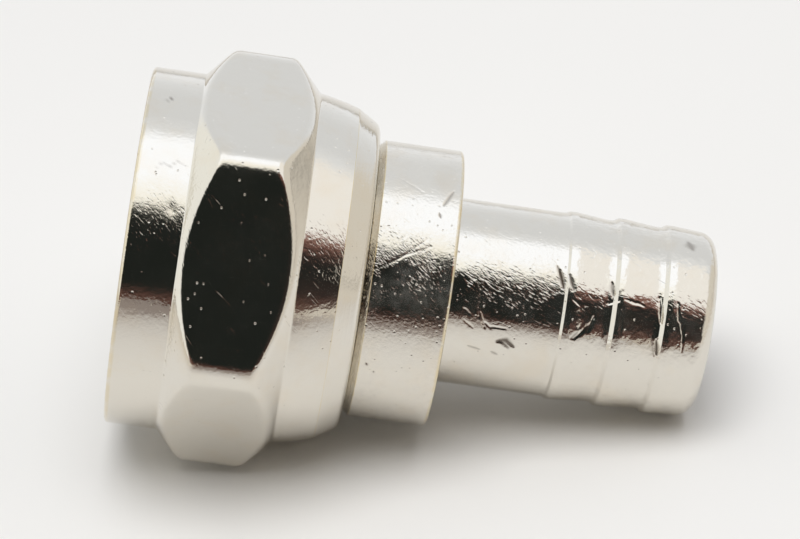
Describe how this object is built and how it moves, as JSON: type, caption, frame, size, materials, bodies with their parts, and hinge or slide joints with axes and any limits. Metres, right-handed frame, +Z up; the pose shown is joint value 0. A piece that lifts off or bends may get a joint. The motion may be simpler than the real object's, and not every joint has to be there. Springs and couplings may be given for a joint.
{
  "type": "f connector",
  "caption": "Coaxial cable plug: a hexagon coupling nut swivels on a hollow barbed post, trapped by a press-fit collar.",
  "frame": {"origin": "on the table, under the middle of the connector as it lies at rest", "axes": "+X runs from the nut's mouth to the tail, level with the table; +Z is up; the connector's own axis slopes down to the tail by 12.5 degrees, because it rests on one flat of the nut and on the rim of the tail"},
  "size_m": [0.0186, 0.0124, 0.0116],
  "materials": {
    "nut_nickel": "bright nickel plating on turned brass, finely pitted",
    "post_nickel": "bright nickel plating on turned brass, with nicks and fine scratches",
    "collar_nickel": "bright nickel plating on turned brass, worn to brass at the front edge"
  },
  "bodies": {
    "post": {"barbed_post": "post_nickel", "retaining_collar": "collar_nickel"},
    "nut": {"coupling_nut": "nut_nickel"}
  },
  "joints": [
    {"name": "nut_swivel", "type": "hinge", "parent": "post", "child": "nut", "pos_m": [-0.0021, 0, 0.00507], "axis": [-0.9762, 0, 0.2168], "continuous": true}
  ]
}
